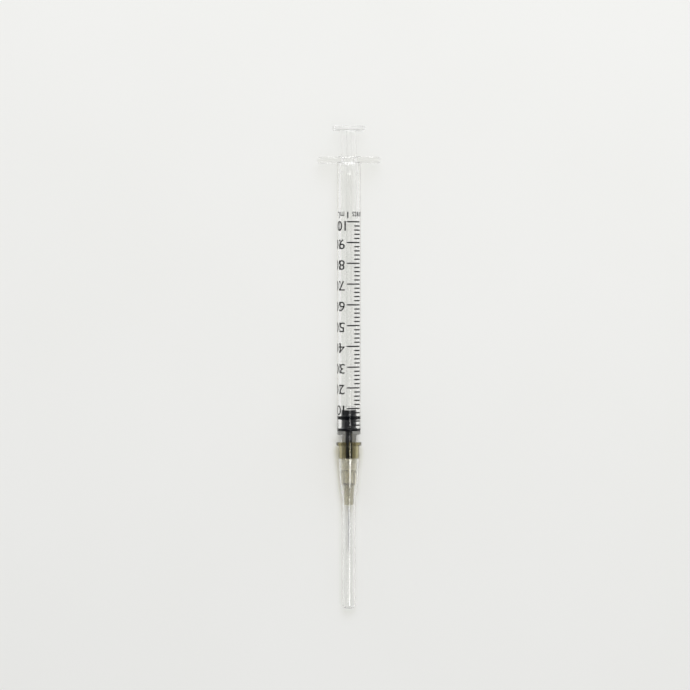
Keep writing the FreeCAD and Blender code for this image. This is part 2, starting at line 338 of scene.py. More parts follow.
# Tints light by the depth of material that it crosses. The density is per metre.
def absorb(material, color, density):
    tree = material.node_tree
    volume = newNode(tree, "ShaderNodeVolumeAbsorption", {"Color": (*color, 1.0), "Density": density})
    joinNodes(tree, [(volume, "Volume", tree.nodes["Material Output"], "Volume")])


stageSizes = {
    "floorHalf": 0.6,  # metres
    "floorColor": (0.830, 0.830, 0.812),
    "floorFade": (0.985, 0.985, 0.98),  # its second shade, as a share of the first
    "floorPatches": 14.0,
    "lens": 180.0,
    "sensor": 36.0,
    "nearest": 0.01,  # metres
    "cameraHeight": 960.6,  # above the syringe's axis
    "middleAlong": 23.95,  # point of the axis at the middle of the picture
    "middleAcross": -1.086,
}


# Pale matte floor: one square whose shade drifts slightly.
def makeFloor(sizes):
    half = sizes["floorHalf"]
    mesh = bpy.data.meshes.new("floor")
    corners = [(-half, -half, 0), (half, -half, 0), (half, half, 0), (-half, half, 0)]
    mesh.from_pydata(corners, [], [(0, 1, 2, 3)])
    floor = newObject("floor", mesh)
    material, tree, shader = newMaterial("floorPaper", {"Roughness": 0.85, "Specular IOR Level": 0.2})
    faded = [shade * share for shade, share in zip(sizes["floorColor"], sizes["floorFade"])]
    drift = useGroup(tree, shadeDrift, {
        "Scale": sizes["floorPatches"],
        "First Shade": (*sizes["floorColor"], 1.0),
        "Second Shade": (*faded, 1.0),
    })
    joinNodes(tree, [(drift, "Color", shader, "Base Color")])
    mesh.materials.append(material)


makeFloor(stageSizes)

middle = place([stageSizes["middleAcross"], stageSizes["middleAlong"], 0.0])
camera = newObject("camera", bpy.data.cameras.new("camera"))
camera.data.lens = stageSizes["lens"]
camera.data.sensor_width = stageSizes["sensor"]
camera.data.clip_start = stageSizes["nearest"]
camera.location = Vector(middle) + Vector((0, 0, stageSizes["cameraHeight"] / perMetre))
scene.camera = camera

# Each lamp has its place from the middle of the picture (across, along, up), its size and its power, in
# metres and watts. The key stands so far towards the thumb end that no round surface mirrors it, and the line
# lamp is mirrored by the hub and cap alone.
lightSizes = {
    "key": ((0.10, 0.95, 1.40), (0.9, 0.8), 24.2),
    "line": ((0.45, -0.36, 1.40), (0.38, 0.60), 3.1),
    "zenith": (0.03, 0.03, 0.03),
    "horizon": (0.70, 0.705, 0.71),
}


# Soft rectangular lamp at an offset from the middle of the picture, turned to face it.
def makeLamp(name, offset, size, power):
    lamp = bpy.data.lights.new(name, "AREA")
    lamp.shape = "RECTANGLE"
    lamp.size, lamp.size_y = size
    lamp.energy = power
    holder = newObject(name, lamp)
    holder.location = Vector(middle) + Vector(offset)
    holder.rotation_euler = (-Vector(offset)).to_track_quat("-Z", "Y").to_euler()


# Two lamps, and a world whose colour = horizon + (zenith - horizon) * height of the view direction.
def makeLights(sizes):
    makeLamp("key", *sizes["key"])
    makeLamp("line", *sizes["line"])
    world = bpy.data.worlds.new("studio")
    world.use_nodes = True
    tree = world.node_tree
    split = newNode(tree, "ShaderNodeSeparateXYZ")
    rise = newNode(tree, "ShaderNodeMapRange")
    shades = {6: (*sizes["horizon"], 1.0), 7: (*sizes["zenith"], 1.0)}
    mix = newNode(tree, "ShaderNodeMix", shades, data_type="RGBA")
    joinNodes(tree, [
        (newNode(tree, "ShaderNodeTexCoord"), "Generated", split, "Vector"),
        (split, "Z", rise, "Value"),
        (rise, "Result", mix, 0),
        (mix, 2, tree.nodes["Background"], "Color"),
    ])
    scene.world = world


makeLights(lightSizes)
scene.view_settings.view_transform = "Standard"
scene.cycles.max_bounces = 24
scene.cycles.transmission_bounces = 24
scene.cycles.transparent_max_bounces = 32
print("stage, camera and lights set")


# See-through moulding. Roughness = mould grain + rub marks * rubRoughness, with a bump from the grain.
def makeClearPlastic(name, values, grain, bump, facingTint, edgeTint, rubs=None, rubRoughness=0.12):
    material, tree, shader = newMaterial(name, values)
    surface = useGroup(tree, mouldGrain, grain)
    if rubs:
        marks = useGroup(tree, rubMarks, rubs)
        rougher = newNode(tree, "ShaderNodeMath", {1: rubRoughness}, operation="MULTIPLY_ADD")
        joinNodes(tree, [
            (marks, "Mask", rougher, 0),
            (surface, "Roughness", rougher, 2),
            (rougher, "Value", shader, "Roughness"),
        ])
    else:
        joinNodes(tree, [(surface, "Roughness", shader, "Roughness")])
    addBump(tree, shader, surface, "Height", bump)
    letLampsThrough(tree, shader, facingTint, edgeTint)
    return material


barrelClear = makeClearPlastic(
    "barrelClear",
    values={"Base Color": (1.0, 1.0, 0.998, 1.0), "IOR": 1.41, "Transmission Weight": 1.0},
    grain={"Patch Scale": 90.0, "Grain Scale": 1500.0, "Low": 0.03, "High": 0.07},
    bump=2e-6,
    facingTint=(0.998, 0.998, 0.995),
    edgeTint=(0.90, 0.90, 0.875),
    rubs={"Scale": 1100.0, "Start": 0.66, "End": 0.82},
)

capNatural = makeClearPlastic(
    "capNatural",
    values={"Base Color": (0.99, 0.99, 0.985, 1.0), "IOR": 1.38, "Transmission Weight": 0.92,
            "Coat Weight": 0.8, "Coat Roughness": 0.07},
    grain={"Patch Scale": 110.0, "Grain Scale": 1800.0, "Low": 0.06, "High": 0.11},
    bump=3e-6,
    facingTint=(0.99, 0.99, 0.985),
    edgeTint=(0.86, 0.86, 0.83),
    rubs={"Scale": 900.0, "Start": 0.64, "End": 0.82},
)

rodNatural = makeClearPlastic(
    "rodNatural",
    values={"Base Color": (0.97, 0.97, 0.965, 1.0), "IOR": 1.36, "Transmission Weight": 0.88},
    grain={"Patch Scale": 140.0, "Grain Scale": 1800.0, "Low": 0.16, "High": 0.24},
    bump=4e-6,
    facingTint=(0.995, 0.995, 0.992),
    edgeTint=(0.92, 0.92, 0.91),
)

hubBrown = makeClearPlastic(
    "hubBrown",
    values={"Base Color": (0.97, 0.96, 0.93, 1.0), "IOR": 1.53, "Transmission Weight": 1.0,
            "Coat Weight": 0.7, "Coat Roughness": 0.07},
    grain={"Patch Scale": 160.0, "Grain Scale": 1900.0, "Low": 0.04, "High": 0.08},
    bump=3e-6,
    facingTint=(0.97, 0.965, 0.93),
    edgeTint=(0.75, 0.73, 0.64),
)
absorb(hubBrown, color=(0.56, 0.50, 0.12), density=740.0)

glueClear = makeClearPlastic(
    "glueClear",
    values={"Base Color": (0.97, 0.97, 0.93, 1.0), "IOR": 1.52, "Transmission Weight": 1.0},
    grain={"Patch Scale": 600.0, "Grain Scale": 3000.0, "Low": 0.03, "High": 0.08},
    bump=1e-6,
    facingTint=(0.94, 0.94, 0.92),
    edgeTint=(0.70, 0.70, 0.66),
)


# Black rubber. Where air lies over it (attribute airGap) it has a soft gloss, and the ribs, wet against the
# bore, have none.
def makeRubber():
    material, tree, shader = newMaterial("rubberBlack", {"Specular IOR Level": 0.0, "Coat Roughness": 0.30})
    shade = useGroup(tree, shadeDrift, {
        "Scale": 420.0,
        "First Shade": (0.002, 0.002, 0.003, 1.0),
        "Second Shade": (0.004, 0.005, 0.007, 1.0),
    })
    surface = useGroup(tree, mouldGrain, {
        "Patch Scale": 380.0, "Grain Scale": 5200.0, "Low": 0.36, "High": 0.44,
    })
    airGap = newNode(tree, "ShaderNodeAttribute", attribute_name="airGap")
    joinNodes(tree, [
        (airGap, "Fac", shader, "Coat Weight"),
        (shade, "Color", shader, "Base Color"),
        (surface, "Roughness", shader, "Roughness"),
    ])
    addBump(tree, shader, surface, "Height", distance=6e-6)
    return material


# Printed ink: dull, between two close shades, and thin enough to let some of the lamps' light through.
def makeInk(name, first, second):
    material, tree, shader = newMaterial(name, {"Specular IOR Level": 0.15})
    shade = useGroup(tree, shadeDrift, {
        "Scale": 1400.0, "First Shade": (*first, 1.0), "Second Shade": (*second, 1.0),
    })
    surface = useGroup(tree, mouldGrain, {
        "Patch Scale": 700.0, "Grain Scale": 9000.0, "Low": 0.42, "High": 0.60,
    })
    joinNodes(tree, [
        (shade, "Color", shader, "Base Color"),
        (surface, "Roughness", shader, "Roughness"),
    ])
    addBump(tree, shader, surface, "Height", distance=3e-6)
    letLampsThrough(tree, shader, facingTint=(0.85, 0.85, 0.85))
    return material


# Drawn steel: its drawing marks take the roughness from the lower to the higher value.
def makeSteel():
    material, tree, shader = newMaterial("steelDrawn", {"Metallic": 1.0})
    shade = useGroup(tree, shadeDrift, {
        "Scale": 500.0,
        "First Shade": (0.72, 0.73, 0.74, 1.0),
        "Second Shade": (0.80, 0.80, 0.81, 1.0),
    })
    marks = useGroup(tree, rubMarks, {"Scale": 9000.0, "Start": 0.35, "End": 0.75})
    gloss = newNode(tree, "ShaderNodeMapRange", {"To Min": 0.16, "To Max": 0.34})
    joinNodes(tree, [
        (shade, "Color", shader, "Base Color"),
        (marks, "Mask", gloss, "Value"),
        (gloss, "Result", shader, "Roughness"),
    ])
    addBump(tree, shader, marks, "Mask", distance=5e-7)
    return material


rubberBlack = makeRubber()
inkBlack = makeInk("inkBlack", (0.010, 0.010, 0.011), (0.022, 0.022, 0.023))
inkGrey = makeInk("inkGrey", (0.07, 0.07, 0.07), (0.12, 0.12, 0.12))
steelDrawn = makeSteel()
print("materials made")


barrel = {
    "boreRadius": 2.35,
    "outerRadius": 3.25,
    "front": -1.0,
    "frontEdge": 0.25,
    "flangeFront": 74.589,
    "flangeBack": 76.189,
    "flangeHalfSpan": 8.75,
    "flangeHalfHeight": 4.8,
    "flangeCorner": 1.4,
    "flangeEdge": 0.30,
    "flangeRoot": 0.60,
    "mouthFlare": 0.20,
    "flareRun": 0.30,  # how much longer the flare is than it is wide
    "flareEdge": 0.10,
    "boreBend": 0.30,  # rounding where the flare and the bead leave the bore
    "beadMiddle": 71.689,
    "beadHalf": 0.5,
    "beadHeight": 0.15,
    "beadCrown": 0.60,
    "boreEndEdge": 0.12,
    "nozzleTip": -8.8,
    "nozzleTipRadius": 1.98,
    "nozzleTipEdge": 0.25,
    "nozzleRoot": 0.15,
    "nozzleBoreRadius": 0.70,
    "nozzleBoreEdge": 0.10,
    "nozzleMouthEdge": 0.08,
    "turns": 240,
}


# How far the finger flange reaches at each turn: the flat's half height / |cos|, or the half span, and
# between them the corner circle met by the ray: c + sqrt(c^2 - C^2 + r^2), with c the centre along the ray, C
# the centre's distance from the axis and r the circle's radius.
def flangeReach(turns, sizes):
    up = np.abs(np.cos(turns))
    across = np.abs(np.sin(turns))
    cornerRadius = sizes["flangeCorner"]
    centreUp = sizes["flangeHalfHeight"] - cornerRadius
    centreReach = sizes["flangeHalfSpan"] - cornerRadius
    centreAcross = math.sqrt(centreReach**2 - centreUp**2)
    onRay = across * centreAcross + up * centreUp
    corner = onRay + np.sqrt(np.maximum(onRay**2 - centreReach**2 + cornerRadius**2, 0))
    flat = sizes["flangeHalfHeight"] / np.maximum(up, tiny)
    angle = np.arctan2(across, up)
    flatEnd = math.atan2(centreAcross, sizes["flangeHalfHeight"])
    roundStart = math.atan2(centreAcross, centreUp)
    return np.where(angle < flatEnd, flat, np.where(angle > roundStart, sizes["flangeHalfSpan"], corner))


# Barrel skin: one outline carried round the axis, from the nozzle's tip outside to the thumb end and back
# inside. Rows of the flange's rim stand inwards from flangeReach(turn), the others at their own radius.
def makeBarrel(sizes):
    outer = sizes["outerRadius"]
    bore = sizes["boreRadius"]
    tip = sizes["nozzleTip"]
    tipRadius = sizes["nozzleTipRadius"]
    nozzleBore = sizes["nozzleBoreRadius"]
    baseRadius = tipRadius + (sizes["front"] - tip) * taper / 2
    middleAlong = sizes["beadMiddle"]
    front = roundedOutline([
        (nozzleBore, tip, 0),
        (tipRadius, tip, sizes["nozzleTipEdge"]),
        (baseRadius, sizes["front"], sizes["nozzleRoot"]),
        (outer, sizes["front"], sizes["frontEdge"]),
        (outer, sizes["flangeFront"], sizes["flangeRoot"]),
        (outer + 1.0, sizes["flangeFront"], 0),
    ])
    rim = roundedOutline([
        (-1.0, sizes["flangeFront"], 0),
        (0.0, sizes["flangeFront"], sizes["flangeEdge"]),
        (0.0, sizes["flangeBack"], sizes["flangeEdge"]),
        (-1.0, sizes["flangeBack"], 0),
    ])
    inside = roundedOutline([
        (outer, sizes["flangeBack"], 0),
        (bore + sizes["mouthFlare"], sizes["flangeBack"], sizes["flareEdge"]),
        (bore, sizes["flangeBack"] - sizes["mouthFlare"] - sizes["flareRun"], sizes["boreBend"]),
        (bore, middleAlong + sizes["beadHalf"], sizes["boreBend"]),
        (bore - sizes["beadHeight"], middleAlong, sizes["beadCrown"]),
        (bore, middleAlong - sizes["beadHalf"], sizes["boreBend"]),
        (bore, 0.0, sizes["boreEndEdge"]),
        (nozzleBore, 0.0, sizes["nozzleBoreEdge"]),
        (nozzleBore, tip, sizes["nozzleMouthEdge"]),
        (tipRadius, tip, 0),
    ])
    turns = evenTurns(sizes["turns"])
    rimRadii = rim[:, :1] + flangeReach(turns, sizes)
    radii = np.concatenate([roundRows(front, turns), rimRadii, roundRows(inside, turns)])
    alongs = np.concatenate([front[:, 1], rim[:, 1], inside[:, 1]])
    mesh = skin("barrelSkin", roundGrid(radii, alongs, turns))
    addPiece(mesh, barrelClear, "barrel", ["barrel"])


makeBarrel(barrel)


scale = {
    "markedVolume": 1000.0,
    "steps": 50,
    "stepsPerLong": 5,
    "zeroLine": 0.55,
    "lineWidth": 0.38,
    "inkHeight": 0.028,
    "inkSink": 0.006,
    "crownShare": 0.82,  # share of a line's width that has the full ink height
    "crownDrop": 0.008,
    "roundEnd": 8,  # power that rounds a line's ends
    "stations": 21,  # rows along each line
    "shortStart": 26.0,  # degrees from the top towards +X
    "longStart": -12.0,
    "end": 68.0,
    "numeralHeight": 2.70,
    "numeralWidth": 1.95,
    "numeralGap": 0.72,
    "numeralStart": -20.8,
    "tenStart": -23.0,
    "fullStart": -15.0,
    "baseAbove": 0.86,  # baseline past its line, towards the thumb
    "fullBaseAbove": 0.20,
    "digitStrips": 14,
    "unitHeight": 1.78,
    "unitBase": 2.78,
    "unitWords": (("units", 80.0, 3.60), ("1", -2.0, 0.40), ("mL", -23.5, 2.50)),  # words, start, width
    "unitBold": 0.004,
    "unitStrips": 22,
    "curveSteps": 5,
}
scaleLength = scale["markedVolume"] / (math.pi * barrel["boreRadius"] ** 2)


# Printed strokes: on each, a section of (width share, height) with cut corners is carried round the barrel
# from one angle to another. Half width = half line width * (1 - |t|^p)^(1/2) for t from -1 to 1, so both ends
# are round, and t = -cos of even angles, so that the rows are closest there.
def makeScaleLines(sizes, outer):
    stations = sizes["stations"]
    steps = np.arange(sizes["steps"] + 1)
    starts = np.where(steps % sizes["stepsPerLong"] == 0, sizes["longStart"], sizes["shortStart"])
    places = sizes["zeroLine"] + scaleLength * steps / sizes["steps"]
    t = -np.cos(np.linspace(0, math.pi, stations + 2))[1:-1]
    span = (sizes["end"] - starts)[:, None]
    angles = np.radians(starts[:, None] + span * (t[None, :] + 1) / 2)
    halfWidth = sizes["lineWidth"] / 2 * np.sqrt(1 - np.abs(t) ** sizes["roundEnd"])
    low = outer - sizes["inkSink"]
    high = outer + sizes["inkHeight"]
    side = high - sizes["crownDrop"]
    crown = sizes["crownShare"]
    section = np.array([(-1.0, low), (-1.0, side), (-crown, high), (crown, high), (1.0, side), (1.0, low)])
    radii = section[:, 1][None, None, :]
    grid = np.stack([
        radii * np.sin(angles)[:, :, None],
        places[:, None, None] + halfWidth[None, :, None] * section[:, 0][None, None, :],
        radii * np.cos(angles)[:, :, None],
    ], -1)
    ends = np.radians(np.stack([starts, np.full(len(steps), sizes["end"])], -1))
    poles = np.stack([outer * np.sin(ends), np.repeat(places[:, None], 2, axis=1), outer * np.cos(ends)], -1)
    points = np.concatenate([grid.reshape(len(steps), -1, 3), poles], axis=1)
    strokeQuads, strokeFans = tubeFaces(stations, len(section))
    shift = (np.arange(len(steps)) * points.shape[1])[:, None, None]
    quads = (strokeQuads[None] + shift).reshape(-1, 4)
    fans = (strokeFans[None] + shift).reshape(-1, 3)
    mesh = makeMesh("scaleLines", place(points.reshape(-1, 3)), quads, fans)
    addPiece(mesh, inkBlack, "barrel", ["scale_marks"])


makeScaleLines(scale, barrel["outerRadius"])


# A mesh's points as rows of (x, y, z).
def meshPoints(mesh):
    points = np.zeros(len(mesh.vertices) * 3)
    mesh.vertices.foreach_get("co", points)
    return points.reshape(-1, 3)


# Solid letters of a short text, as points that start at x = 0, triangles and width. They are cut into narrow
# strips across their reading direction, so that they can be bent.
def textArrays(words, strips, curveSteps, bold=0.0):
    curve = bpy.data.curves.new("words", "FONT")
    curve.body = words
    curve.size = 1.0
    curve.extrude = 0.5
    curve.offset = bold
    curve.resolution_u = curveSteps
    carrier = newObject("words", curve)
    bpy.context.view_layer.update()
    flat = bpy.data.meshes.new_from_object(carrier.evaluated_get(bpy.context.evaluated_depsgraph_get()))
    reading = meshPoints(flat)[:, 0]
    low, high = reading.min(), reading.max()
    work = bmesh.new()
    work.from_mesh(flat)
    bmesh.ops.remove_doubles(work, verts=work.verts, dist=1e-5)
    for cut in np.linspace(low, high, strips + 1)[1:-1]:
        everything = list(work.verts) + list(work.edges) + list(work.faces)
        bmesh.ops.bisect_plane(work, geom=everything, plane_co=(cut, 0, 0), plane_no=(1, 0, 0), dist=1e-6)
    bmesh.ops.triangulate(work, faces=work.faces)
    cutMesh = bpy.data.meshes.new("cutWords")
    work.to_mesh(cutMesh)
    work.free()
    cutMesh.calc_loop_triangles()
    points = meshPoints(cutMesh) - [low, 0, 0]
    triangles = np.zeros(len(cutMesh.loop_triangles) * 3, np.int32)
    cutMesh.loop_triangles.foreach_get("vertices", triangles)
    bpy.data.objects.remove(carrier)
    bpy.data.curves.remove(curve)
    bpy.data.meshes.remove(flat)
    bpy.data.meshes.remove(cutMesh)
    return points, triangles.reshape(-1, 3), high - low


# Letters bent onto the barrel: angle = start - reading distance / outer radius, along = baseline - height on
# the page, radius = outer radius + ink. They read with the needle up.
def bendLetters(points, startAngle, baseline, outer, sizes):
    angles = math.radians(startAngle) - points[:, 0] / outer
    middleHeight = (sizes["inkHeight"] - sizes["inkSink"]) / 2
    halfHeight = (sizes["inkHeight"] + sizes["inkSink"]) / 2
    radii = outer + middleHeight + halfHeight * np.sign(points[:, 2])
    return np.stack([radii * np.sin(angles), baseline - points[:, 1], radii * np.cos(angles)], -1)


# Joins letters, each (bent points, triangles), into one printed piece.
def printLetters(name, letters, material):
    starts = np.cumsum([0] + [len(points) for points, triangles in letters])
    points = np.concatenate([points for points, triangles in letters])
    triangles = np.concatenate([triangles + start for (points, triangles), start in zip(letters, starts)])
    addPiece(makeMesh(name, place(points), noQuads, triangles), material, "barrel")


# Numerals of the long lines: digits stretched to one height and width and set side by side, each bent on.
def makeNumerals(sizes, outer):
    glyphs = {digit: textArrays(digit, sizes["digitStrips"], sizes["curveSteps"]) for digit in "0123456789"}
    roundPoints, _, roundWidth = glyphs["0"]
    upScale = sizes["numeralHeight"] / roundPoints[:, 1].max()
    acrossScale = sizes["numeralWidth"] / roundWidth
    letters = []
    for number in range(10, 101, 10):
        along = sizes["zeroLine"] + scaleLength * number / 100
        baseline = along + (sizes["fullBaseAbove"] if number == 100 else sizes["baseAbove"])
        start = {10: sizes["tenStart"], 100: sizes["fullStart"]}.get(number, sizes["numeralStart"])
        reading = 0.0
        for digit in str(number):
            points, triangles, width = glyphs[digit]
            scaled = points * [acrossScale, upScale, 1] + [reading, 0, 0]
            letters.append((bendLetters(scaled, start, baseline, outer, sizes), triangles))
            reading += width * acrossScale + sizes["numeralGap"]
    printLetters("scaleNumerals", letters, inkBlack)


# Unit words beyond the last line, each stretched to its own width and to one height.
def makeUnitWords(sizes, outer):
    baseline = sizes["zeroLine"] + scaleLength + sizes["unitBase"]
    letters = []
    for words, start, width in sizes["unitWords"]:
        points, triangles, drawnWidth = textArrays(
            words, sizes["unitStrips"], sizes["curveSteps"], sizes["unitBold"])
        scaled = points * [width / drawnWidth, sizes["unitHeight"] / points[:, 1].max(), 1]
        letters.append((bendLetters(scaled, start, baseline, outer, sizes), triangles))
    printLetters("unitWords", letters, inkGrey)


makeNumerals(scale, barrel["outerRadius"])
makeUnitWords(scale, barrel["outerRadius"])


stopper = {
    "ribRadius": 2.36,  # pressed 0.01 into the bore's skin, so that the rubber looks wet through the wall
    "ribEdge": 0.12,
    "wetDepth": 0.05,  # rubber this close to the ribs' radius counts as wet
    "front": 0.004,
    "frontRib": 0.75,
    "frontSlope": 0.22,
    "frontSlopeBend": 0.18,
    "waistRadius": 2.05,
    "rearSlope": 0.14,
    "rearSlopeBend": 0.14,
    "rearRibStart": 3.20,
    "rearRibEnd": 4.18,
    "tailRadius": 2.10,
    "tailSlope": 0.10,
    "tailSlopeBend": 0.12,
    "tailEdge": 0.18,
    "length": 5.85,
    "nibRadius": 0.71,
    "nibTip": -7.6,
    "nibEdge": 0.25,
    "nibRoot": 0.10,
    "socketNeckRadius": 0.98,
    "socketNeckEnd": 4.88,
    "socketRadius": 1.43,
    "socketFront": 3.72,
    "socketConeRadius": 0.73,
    "socketEnd": 2.92,
    "socketEdge": 0.05,
    "turns": 160,
}


# Stopper skin: an outline carried round the axis, from the nib's tip over the ribs to the bottom of the
# socket. airGap = 1 where the radius is over wetDepth inside the ribs' radius, and 0 on the ribs.
def makeStopper(sizes):
    rib = sizes["ribRadius"]
    waist = sizes["waistRadius"]
    tail = sizes["tailRadius"]
    neck = sizes["socketNeckRadius"]
    edge = sizes["ribEdge"]
    outline = roundedOutline([
        (0.0, sizes["nibTip"], 0),
        (sizes["nibRadius"], sizes["nibTip"], sizes["nibEdge"]),
        (sizes["nibRadius"], sizes["front"], sizes["nibRoot"]),
        (rib, sizes["front"], edge),
        (rib, sizes["frontRib"], edge),
        (waist, sizes["frontRib"] + sizes["frontSlope"], sizes["frontSlopeBend"]),
        (waist, sizes["rearRibStart"] - sizes["rearSlope"], sizes["rearSlopeBend"]),
        (rib, sizes["rearRibStart"], edge),
        (rib, sizes["rearRibEnd"], edge),
        (tail, sizes["rearRibEnd"] + sizes["tailSlope"], sizes["tailSlopeBend"]),
        (tail, sizes["length"], sizes["tailEdge"]),
        (neck, sizes["length"], sizes["socketEdge"]),
        (neck, sizes["socketNeckEnd"], sizes["socketEdge"]),
        (sizes["socketRadius"], sizes["socketNeckEnd"], sizes["socketEdge"]),
        (sizes["socketRadius"], sizes["socketFront"], sizes["socketEdge"]),
        (sizes["socketConeRadius"], sizes["socketEnd"], sizes["socketEdge"]),
        (0.0, sizes["socketEnd"], 0),
    ])
    poles = [(0.0, sizes["nibTip"], 0.0), (0.0, sizes["socketEnd"], 0.0)]
    mesh = turnedSkin("stopperRubber", outline, sizes["turns"], poles)
    isFree = np.append(np.repeat(outline[:, 0] < rib - sizes["wetDepth"], sizes["turns"]), [True, True])
    airGap = mesh.attributes.new("airGap", "FLOAT", "POINT")
    airGap.data.foreach_set("value", isFree.astype(np.float32))
    addPiece(mesh, rubberBlack, "stopper", ["stopper"])


makeStopper(stopper)


rod = {
    "radius": 2.10,
    "halfRib": 0.475,
    "ribEdge": 0.10,
    "root": 0.20,
    "coneFront": 2.95,
    "coneRadius": 0.70,
    "coneEdge": 0.15,
    "headRadius": 1.40,
    "headFront": 3.75,
    "headBack": 4.85,
    "headEdge": 0.12,
    "headBackEdge": 0.08,
    "neckRadius": 0.95,
    "neckFrontRoot": 0.06,
    "neckBackRoot": 0.10,
    "discFront": 5.88,
    "discBack": 6.78,
    "discEdge": 0.12,
    "restFront": 83.589,
    "restBack": 84.889,
    "restRadius": 4.50,
    "restEdge": 0.35,
    "grooves": ((3.30, 3.15, 3.00), (2.30, 2.15, 2.00)),  # radii of the edge, the bottom and the other edge
    "grooveDepth": 0.10,
    "grooveEdge": 0.06,
    "dimple": (1.10, 0.95),  # radii at its edge and at its floor
    "dimpleDepth": 0.06,
    "dimpleEdge": 0.05,
    "endRows": (0.0, 0.02, 0.12),  # rows of the cross, from the disc and from the thumb rest
    "points": {"tip": 5, "edge": 6, "side": 10, "root": 4},  # on each part of the section
}


# One quarter of the cross-shaped section, from the middle of the rib that points up to the middle of the
# next, as (across, up): an arc at the rod's radius, a rounded edge, the rib's side, a root fillet, and the
# mirror of that. Arcs are centre + radius * (sin, cos).
def quarterSection(sizes):
    half = sizes["halfRib"]
    radius = sizes["radius"]
    edge = sizes["ribEdge"]
    root = sizes["root"]
    points = sizes["points"]
    edgeUp = math.sqrt((radius - edge) ** 2 - (half - edge) ** 2)
    edgeTurn = math.atan2(half - edge, edgeUp)
    tipAngles = np.linspace(0, edgeTurn, points["tip"])[:-1]
    tip = radius * np.stack([np.sin(tipAngles), np.cos(tipAngles)], -1)
    edgeAngles = np.linspace(edgeTurn, math.pi / 2, points["edge"])
    rounded = [half - edge, edgeUp] + edge * np.stack([np.sin(edgeAngles), np.cos(edgeAngles)], -1)
    sideUps = np.linspace(edgeUp, half + root, points["side"])[1:-1]
    side = np.stack([np.full(len(sideUps), half), sideUps], -1)
    rootAngles = np.linspace(0, math.pi / 4, points["root"])
    fillet = half + root - root * np.stack([np.cos(rootAngles), np.sin(rootAngles)], -1)
    eighth = np.concatenate([tip, rounded, side, fillet])
    mirrored = eighth[::-1, ::-1][1:-1]
    return np.concatenate([eighth, mirrored])


# Rod skin: rows that run from the head's cone to the thumb rest. A row of a disc is a circle, a row of the
# rod is the cross, and each point of both stands at the same turn round the axis.
def makeRod(sizes):
    quarter = quarterSection(sizes)
    quarters = []
    for k in range(4):
        c, s = math.cos(k * math.pi / 2), math.sin(k * math.pi / 2)
        across = quarter[:, 0] * c + quarter[:, 1] * s
        up = quarter[:, 1] * c - quarter[:, 0] * s
        quarters.append(np.stack([across, up], -1))
    cross = np.concatenate(quarters)
    crossRadius = np.hypot(cross[:, 0], cross[:, 1])
    turns = np.arctan2(cross[:, 0], cross[:, 1])
    radius = sizes["radius"]
    head = roundedOutline([
        (0.0, sizes["coneFront"], 0),
        (sizes["coneRadius"], sizes["coneFront"], sizes["coneEdge"]),
        (sizes["headRadius"], sizes["headFront"], sizes["headEdge"]),
        (sizes["headRadius"], sizes["headBack"], sizes["headBackEdge"]),
        (sizes["neckRadius"], sizes["headBack"], sizes["neckFrontRoot"]),
        (sizes["neckRadius"], sizes["discFront"], sizes["neckBackRoot"]),
        (radius, sizes["discFront"], sizes["discEdge"]),
        (radius, sizes["discBack"], sizes["discEdge"]),
        (0.0, sizes["discBack"], 0),
    ])
    back = sizes["restBack"]
    grooveEdge = sizes["grooveEdge"]
    grooves = []
    for start, bottom, end in sizes["grooves"]:
        grooves += [
            (start, back, grooveEdge),
            (bottom, back - sizes["grooveDepth"], grooveEdge),
            (end, back, grooveEdge),
        ]
    dimpleStart, dimpleEnd = sizes["dimple"]
    dimpleFloor = back - sizes["dimpleDepth"]
    rest = roundedOutline([
        (0.0, sizes["restFront"], 0),
        (sizes["restRadius"], sizes["restFront"], sizes["restEdge"]),
        (sizes["restRadius"], back, sizes["restEdge"]),
        *grooves,
        (dimpleStart, back, sizes["dimpleEdge"]),
        (dimpleEnd, dimpleFloor, sizes["dimpleEdge"]),
        (0.0, dimpleFloor, 0),
    ])
    endRows = np.array(sizes["endRows"])
    crossRows = np.concatenate([sizes["discBack"] + endRows, sizes["restFront"] - endRows[::-1]])
    crossRadii = np.repeat(crossRadius[None], len(crossRows), axis=0)
    radii = np.concatenate([roundRows(head, turns), crossRadii, roundRows(rest, turns)])
    alongs = np.concatenate([head[:, 1], crossRows, rest[:, 1]])
    poles = [(0.0, sizes["coneFront"], 0.0), (0.0, dimpleFloor, 0.0)]
    mesh = skin("plungerRod", roundGrid(radii, alongs, turns), poles)
    addPiece(mesh, rodNatural, "plunger_rod", ["plunger_rod"])


makeRod(rod)


hub = {
    "mouth": -3.067,
    "mouthEdge": 0.12,
    "rimFront": -4.067,
    "rimRadius": 3.55,
    "rimEdge": 0.15,
    "bodyFront": -7.567,
    "bodyRadius": 2.925,
    "bodyEdge": 0.25,
    "seatEnd": -11.6,
    "seatRoot": 0.06,
    "seatEdge": 0.10,
    "finMiddle": -13.3,
    "finFront": -15.017,
    "finRootRow": 0.03,
    "finTipRows": ((0.15, 0.0), (0.04, 0.05), (0.0, 0.16)),  # distance from the fins' front, loss of reach
    "halfFin": 0.35,
    "coreRadius": 1.70,
    "coreBore": 1.20,
    "coreBoreEnd": -14.597,
    "coreBoreBend": 0.20,
    "coreBoreEdge": 0.10,
    "cavityEnd": -11.0,
    "cavityBend": 0.20,
    "noseBase": 1.425,
    "noseRoot": 0.10,
    "noseTip": -20.567,
    "noseTipRadius": 1.30,
    "noseEdge": 0.20,
    "wellRadius": 0.70,
    "wellDepth": 4.60,
    "wellEdge": 0.05,
    "wellBend": 0.10,
    "needleHole": 0.235,
    "needleHoleEdge": 0.05,
    "coneClearance": 0.02,
    "capClearance": 0.02,
    "turnBands": ((0.0, 7.0, 5), (7.6, 13.0, 25), (14.0, 45.0, 12)),  # degrees from a fin's middle, count
}

